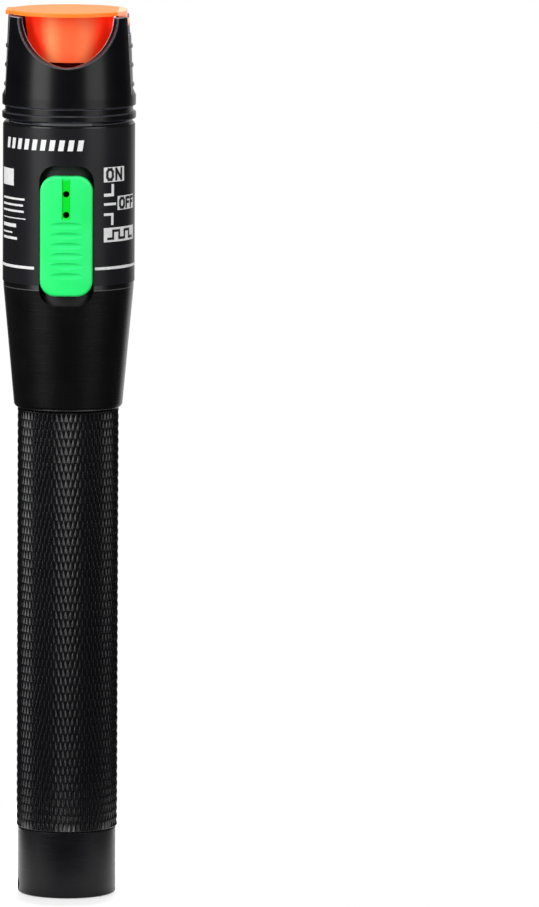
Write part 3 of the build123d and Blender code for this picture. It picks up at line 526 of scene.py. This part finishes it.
# The collar: the housing's material, with its painted edge highlights, and a paler face on
# its key tab
collar = moulded.copy()
collar.name = "collar_satin"
key_face = overlap(collar, within(collar, "Z", *key_heights),
                   within(collar, "X", -key_half_width, key_half_width),
                   within(collar, "Y", -film_radius - margin, 0.0))
cover_colour(collar, key_face, (0.085, 0.085, 0.09))

# Small black mouldings inside
dull_plastic = surface("plastic_matt", (0.01, 0.01, 0.01), 0.55)
vary_roughness(dull_plastic, noise(dull_plastic, 2500.0), 0.48, 0.62)

# The knob: bright green, painted darker as shade in its grooves and channel, and with
# painted shade making its two peg holes dark
green = surface("knob_green", (0.03, 0.97, 0.21), 0.36, specular=0.3)
vary_colour(green, noise(green, 200.0), (0.025, 0.95, 0.19), (0.035, 0.98, 0.23))
knob_groove_shade = occlusion(green, distance=0.6, low=0.5, high=0.9, inside=False)
cover_colour(green, knob_groove_shade, (0.006, 0.88, 0.12))
knob_channel_shade = overlap(green, within(green, "X", -channel_half_width, channel_half_width),
                       within(green, "Z", *channel_heights, blur=0.3))
cover_colour(green, knob_channel_shade, (0.0, 0.8, 0.03))
# Painted shade: the peg holes are painted nearly black
for peg_height in peg_heights:
    cover_colour(green, around(green, 0.0, peg_height, peg_radius), (0.0, 0.012, 0.003))
soften_edges(green, 0.0002)

# The dust cap: clear red-orange rubber, given a painted glow though it is no lamp; the
# cup's slanted sides are painted redder and glow more
orange = surface("cap_translucent", (1.0, 0.14, 0.05), 0.36, specular=0.12,
                 sockets={"Subsurface Weight": 0.3, "Subsurface Scale": 0.0005,
                          "Subsurface Radius": (1.0, 0.25, 0.1),
                          "Emission Color": (1.0, 0.02, 0.004, 1.0)})
vary_colour(orange, noise(orange, 150.0), (1.0, 0.17, 0.06), (1.0, 0.21, 0.075))
cup_sides_painted_glow = overlap(orange, turned_away(orange, 0.12, 0.36),
                    within(orange, "Z", cap_foot - margin, cap_disc_foot))
# Painted glow, stronger at the cup's slanted sides
feed(orange, "Emission Strength", fade(orange.node_tree, cup_sides_painted_glow, 0.0, 1.0, 0.3, 0.52))
# Two paler bands painted on the cup as highlights
cover_colour(orange, within(orange, "X", *cup_left_painted_highlight, blur=1.5), (1.0, 0.36, 0.14))
cover_colour(orange, within(orange, "X", *cup_right_painted_highlight, blur=1.3), (1.0, 0.28, 0.11))
# Painted shading: the cup's slanted sides are painted redder
cover_colour(orange, cup_sides_painted_glow, (1.0, 0.05, 0.02))
# Painted light: the disc is painted a lighter orange for the light that shines through its
# thin rubber
cover_colour(orange, within(orange, "Z", cap_disc_foot, cap_top + margin),
             (1.0, 0.27, 0.04))
hinge_side = overlap(
    orange, within(orange, "X", cap_hinge_side, reach("dust_cap") + margin, blur=0.3),
    within(orange, "Z", cap_hinge_foot, cap_top + margin))
cover_colour(orange, hinge_side, (1.0, 0.62, 0.38))

# Seal rings
seal = surface("seal_nitrile", (0.012, 0.012, 0.012), 0.45)
vary_roughness(seal, noise(seal, 4000.0), 0.38, 0.55)

# Metals
steel = surface("plated", (0.62, 0.61, 0.59), 0.24, metallic=1.0)
vary_roughness(steel, noise(steel, 6000.0, turned_lines), 0.16, 0.34)

brass = surface("brass_turned", (0.72, 0.5, 0.2), 0.25, metallic=1.0)
vary_roughness(brass, noise(brass, 6000.0, turned_lines), 0.18, 0.36)

# Circuit board and chips
laminate = surface("laminate_green", (0.01, 0.12, 0.04), 0.35)
vary_colour(laminate, noise(laminate, 900.0), (0.008, 0.1, 0.03), (0.015, 0.15, 0.055))

fired = surface("ceramic_tan", (0.28, 0.2, 0.13), 0.5)
vary_colour(fired, noise(fired, 2500.0), (0.22, 0.15, 0.1), (0.34, 0.25, 0.17))

# Lens and ferrule sleeve
glass = surface("lens", (1.0, 1.0, 1.0), 0.02,
                sockets={"Transmission Weight": 1.0, "IOR": 1.52})
vary_roughness(glass, noise(glass, 500.0), 0.01, 0.03)

zirconia = surface("zirconia", (0.88, 0.87, 0.83), 0.18)
vary_roughness(zirconia, noise(zirconia, 5000.0, turned_lines), 0.12, 0.26)

# Battery cells
jacket = surface("cell_wrap", (0.05, 0.07, 0.12), 0.28)
vary_colour(jacket, noise(jacket, 120.0, (0.05, 0.05, 1.0)), (0.04, 0.05, 0.09),
            (0.09, 0.11, 0.17))

# Print
ink = surface("ink_white", (0.9, 0.9, 0.9), 0.45)
vary_colour(ink, noise(ink, 900.0), (0.86, 0.86, 0.86), (0.94, 0.94, 0.94))

ink_dark = surface("ink_dark", (0.01, 0.01, 0.011), 0.45)
vary_colour(ink_dark, noise(ink_dark, 900.0), (0.008, 0.008, 0.009), (0.013, 0.013, 0.014))

node_materials = {
    "front_shell": anodised,
    "tail_cap": satin_anodised,
    "battery_tube": knurled_anodised,
    "label_film": film,
    "nose_housing": moulded,
    "nose_collar": collar,
    "slide_knob": green,
    "dust_cap": orange,
    "knob_carrier": dull_plastic,
    "switch_lever": dull_plastic,
    "inner_chassis": dull_plastic,
    "driver_chip": dull_plastic,
    "tail_seal": seal,
    "tube_seal": seal,
    "front_cell": jacket,
    "rear_cell": jacket,
    "tail_spring": steel,
    "battery_contact": steel,
    "ground_spring": steel,
    "board_screws": steel,
    "hinge_pin": steel,
    "laser_diode": steel,
    "port_body": steel,
    "port_nut": steel,
    "switch_case": steel,
    "switch_pins": steel,
    "laser_barrel": brass,
    "lens_ring": brass,
    "circuit_board": laminate,
    "switch_base": laminate,
    "chip_resistors": fired,
    "chip_capacitors": fired,
    "collimating_lens": glass,
    "ferrule_sleeve": zirconia,
}
for node_name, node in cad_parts.items():
    for slot in node.material_slots:
        slot.material = node_materials[node_name]


# Knurled battery tube
def join_rings(shape, lower, upper):
    """Faces between two closed rings of the same number of vertices."""
    count = len(lower)
    for i in range(count):
        corners = (lower[i], lower[(i + 1) % count], upper[(i + 1) % count], upper[i])
        shape.faces.new(corners)


def build_grip(shape):
    """The knurl: flat-topped diamonds between two families of helical grooves.

    Half diamonds are counted by i round the tube, and rows by j along it.
    """
    half_turn_step = pi / grip_around
    foot = grip_base + grip_chamfer
    row_step = (grip_top - grip_chamfer - foot) / grip_rows
    halves = 2 * grip_around
    valley = grip_radius - grip_depth
    made = {}

    def vertex(i, j, radius):
        key = (round((i % halves) * 1000) % (halves * 1000), round(j * 1000))
        if key not in made:
            angle = i * half_turn_step
            made[key] = shape.verts.new((radius * cos(angle), radius * sin(angle),
                                         foot + j * row_step))
        return made[key]

    rims = {0: [], grip_rows: []}
    for j in range(grip_rows + 1):
        for i in range(j % 2, halves, 2):
            left = vertex(i - grip_share, j, grip_radius)
            right = vertex(i + grip_share, j, grip_radius)
            far_left = vertex(i - 1, j, valley)
            far_right = vertex(i + 1, j, valley)
            top = [right, left]
            if j > 0:
                down = vertex(i, j - grip_share, grip_radius)
                far_down = vertex(i, j - 1, valley)
                shape.faces.new((far_left, far_down, down, left))
                shape.faces.new((far_down, far_right, right, down))
                top.append(down)
            else:
                rims[0] += [far_left, left, right]
            if j < grip_rows:
                up = vertex(i, j + grip_share, grip_radius)
                far_up = vertex(i, j + 1, valley)
                shape.faces.new((far_right, far_up, up, right))
                shape.faces.new((far_up, far_left, left, up))
                top.insert(1, up)
            else:
                rims[grip_rows] += [far_left, left, right]
            shape.faces.new(top)

    # Chamfer and shoulder at each end, and the inner wall between them
    inner_loops = []
    for j, end in ((0, grip_base), (grip_rows, grip_top)):
        outer = rims[j]
        for radius in (grip_radius - grip_chamfer - grip_depth / 2, grip_inner_radius):
            loop = []
            for point in outer:
                flat = Vector((point.co.x, point.co.y, 0.0)).normalized() * radius
                loop.append(shape.verts.new((flat.x, flat.y, end)))
            join_rings(shape, outer, loop)
            outer = loop
        inner_loops.append(outer)
    join_rings(shape, *inner_loops)
    build_core(shape)
    bmesh.ops.remove_doubles(shape, verts=shape.verts, dist=0.0005)
    bmesh.ops.recalc_face_normals(shape, faces=shape.faces)


def build_core(shape):
    """The tube's necks, with their threads and seal grooves, round the bore."""
    angles = [2 * pi * i / neck_columns for i in range(neck_columns)]
    rows = []

    def add(radius, height):
        """One more ring of the turned profile, joined to the one before."""
        row = [shape.verts.new((radius * cos(angle), radius * sin(angle), height))
               for angle in angles]
        if rows:
            join_rings(shape, rows[-1], row)
        rows.append(row)

    def add_thread(radius, low, high):
        """A right-hand thread as a sheared block of rows, clamped at its ends."""
        count = round((high - low) / thread_pitch * thread_rows)
        profile = (radius, radius, radius - thread_depth, radius - thread_depth)
        block = []
        for k in range(-thread_rows - 1, count + 2):
            row = []
            for c, angle in enumerate(angles):
                height = low + thread_pitch * (k / thread_rows + c / neck_columns)
                cut = profile[k % thread_rows] if low < height < high else radius
                height = min(max(height, low), high)
                row.append(shape.verts.new((cut * cos(angle), cut * sin(angle), height)))
            block.append(row)
        join_rings(shape, rows[-1], block[0])
        last = len(block) - 1
        for a in range(last):
            for c in range(neck_columns - 1):
                shape.faces.new((block[a][c], block[a][c + 1], block[a + 1][c + 1],
                                 block[a + 1][c]))
            # After a full turn a row meets the one that is a pitch higher
            low_row = min(a + thread_rows, last)
            high_row = min(a + 1 + thread_rows, last)
            corners = [block[a][-1], block[low_row][0]]
            if high_row != low_row:
                corners.append(block[high_row][0])
            corners.append(block[a + 1][-1])
            shape.faces.new(corners)
        rows.append(block[-1])

    def add_groove(seal_name, radius):
        """The square groove that a seal ring sits in."""
        low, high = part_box(seal_name)
        foot = low.z / MM - seal_gap
        head = high.z / MM + seal_gap
        add(radius, foot)
        add(radius - seal_groove_depth - seal_gap, foot)
        add(radius - seal_groove_depth - seal_gap, head)
        add(radius, head)

    lower_radius = reach("tail_seal") + seal_gap
    upper_radius = reach("tube_seal") + seal_gap
    core_radius = bore_radius + core_wall
    add(bore_radius, tube_head)
    add(bore_radius, tube_foot)
    add(lower_radius - neck_edge, tube_foot)
    add(lower_radius, tube_foot + neck_edge)
    add_thread(lower_radius, *lower_thread)
    add_groove("tail_seal", lower_radius)
    add(lower_radius, grip_base)
    add(core_radius, grip_base + core_step)
    add(core_radius, grip_top - core_step)
    add(upper_radius, grip_top)
    add_groove("tube_seal", upper_radius)
    add_thread(upper_radius, *upper_thread)
    add(upper_radius, tube_head - neck_edge)
    add(upper_radius - neck_edge, tube_head)
    join_rings(shape, rows[-1], rows[0])


grip = mesh_object("grip", build_grip, knurled_anodised, smooth_angle=20.0)
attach(grip, "pen")
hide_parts("battery_tube")


# Print on the label film
def bar(left, low, right, high, lean=0.0):
    """A rectangle on the unrolled film, whose upper edge can lean to the right.

    All print is placed to the right of the front line and above the film's foot.
    """
    foot = film_foot + low
    head = film_foot + high
    return [(left, foot), (right, foot), (right + lean, head), (left + lean, head)]


def stroke(first, second, width):
    """A straight stroke between two points, with square ends."""
    along = Vector(second) - Vector(first)
    side = Vector((along.y, -along.x)).normalized() * width / 2
    cap = along.normalized() * width / 2
    start = Vector(first) - cap
    end = Vector(second) + cap
    return [tuple(start + side), tuple(end + side), tuple(end - side),
            tuple(start - side)]


def letter(strokes, left, low, width, height, weight):
    """Strokes given in a unit square, set at a place and size on the film."""
    foot = film_foot + low
    return [stroke((left + first[0] * width, foot + first[1] * height),
                   (left + second[0] * width, foot + second[1] * height), weight)
            for first, second in strokes]


def print_piece(name, shapes, material, stand):
    """Flat shapes laid round the film, a little proud of it."""
    radius = film_radius + stand

    def build(shape):
        for corners in shapes:
            shape.faces.new([shape.verts.new((x, z, 0.0)) for x, z in corners])
        left = min(x for corners in shapes for x, _ in corners)
        right = max(x for corners in shapes for x, _ in corners)
        for k in range(1, int((right - left) / print_step) + 1):
            bmesh.ops.bisect_plane(shape, geom=shape.verts[:] + shape.edges[:]
                                   + shape.faces[:], dist=0.0001,
                                   plane_co=(left + k * print_step, 0, 0),
                                   plane_no=(1, 0, 0))
        for vertex in shape.verts:
            angle = vertex.co.x / film_radius
            height = vertex.co.y
            vertex.co = (radius * sin(angle), -radius * cos(angle), height)

    piece = mesh_object(name, build, material)
    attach(piece, "pen")


# The switch's legend: three fields, and the marks that join them to its positions
legend = [bar(7.6, 20.15, 13.1, 23.05), bar(11.1, 14.55, 17.3, 17.3),
          bar(7.65, 8.45, 17.4, 11.25),
          bar(9.45, 17.35, 10.1, 19.75), bar(7.65, 17.35, 9.45, 17.95),
          bar(7.65, 15.6, 10.65, 16.1), bar(7.65, 13.6, 10.0, 14.1),
          bar(9.4, 11.75, 10.0, 13.6)]

# The line round the film, which stops on both sides of the switch
film_round = 2 * pi * film_radius
ring_line = [bar(5.75, 3.1, film_round - 6.55, 3.65)]

# Ten slanted bars above the switch
title_left = -14.6
title_pitch = 1.85
title_width = 1.05
title_bars = [bar(title_left + title_pitch * k, 26.4,
                  title_left + title_pitch * k + title_width, 28.5, lean=0.35)
              for k in range(10)]

# A plain field with lines below it: where each line ends, and its two edges
note_left = -17.0
note_lines = ((-8.9, 16.4, 16.8), (-9.3, 15.2, 15.6), (-9.1, 14.0, 14.4),
              (-8.6, 12.7, 12.9), (-11.3, 11.0, 11.7), (-12.6, 9.8, 10.1),
              (-11.0, 8.6, 9.1))
note = [bar(-17.2, 19.1, -12.1, 22.4)]
note += [bar(note_left, low, right, high) for right, low, high in note_lines]
print_piece("print_white", legend + ring_line + title_bars + note, ink, print_stand)

# ON, OFF and a pulse line in the legend's fields
round_o = [((0.25, 0), (0.75, 0)), ((0.75, 0), (1, 0.25)), ((1, 0.25), (1, 0.75)),
           ((1, 0.75), (0.75, 1)), ((0.75, 1), (0.25, 1)), ((0.25, 1), (0, 0.75)),
           ((0, 0.75), (0, 0.25)), ((0, 0.25), (0.25, 0))]
straight_n = [((0, 0), (0, 1)), ((0, 1), (1, 0)), ((1, 0), (1, 1))]
straight_f = [((0, 0), (0, 1)), ((0, 1), (1, 1)), ((0, 0.52), (0.8, 0.52))]
pulses = [((0, 0), (0.16, 0)), ((0.16, 0), (0.16, 1)), ((0.16, 1), (0.38, 1)),
          ((0.38, 1), (0.38, 0)), ((0.38, 0), (0.6, 0)), ((0.6, 0), (0.6, 1)),
          ((0.6, 1), (0.82, 1)), ((0.82, 1), (0.82, 0)), ((0.82, 0), (1, 0))]
letter_weight = 0.55
dark_marks = letter(round_o, 8.4, 20.65, 1.35, 1.95, letter_weight)
dark_marks += letter(straight_n, 10.7, 20.65, 1.45, 1.95, letter_weight)
dark_marks += letter(round_o, 11.8, 15.0, 1.3, 1.8, letter_weight)
dark_marks += letter(straight_f, 13.9, 15.0, 1.1, 1.8, letter_weight)
dark_marks += letter(straight_f, 15.7, 15.0, 1.1, 1.8, letter_weight)
dark_marks += letter(pulses, 8.7, 9.1, 7.6, 1.5, 0.5)
print_piece("print_dark", dark_marks, ink_dark, 2 * print_stand)
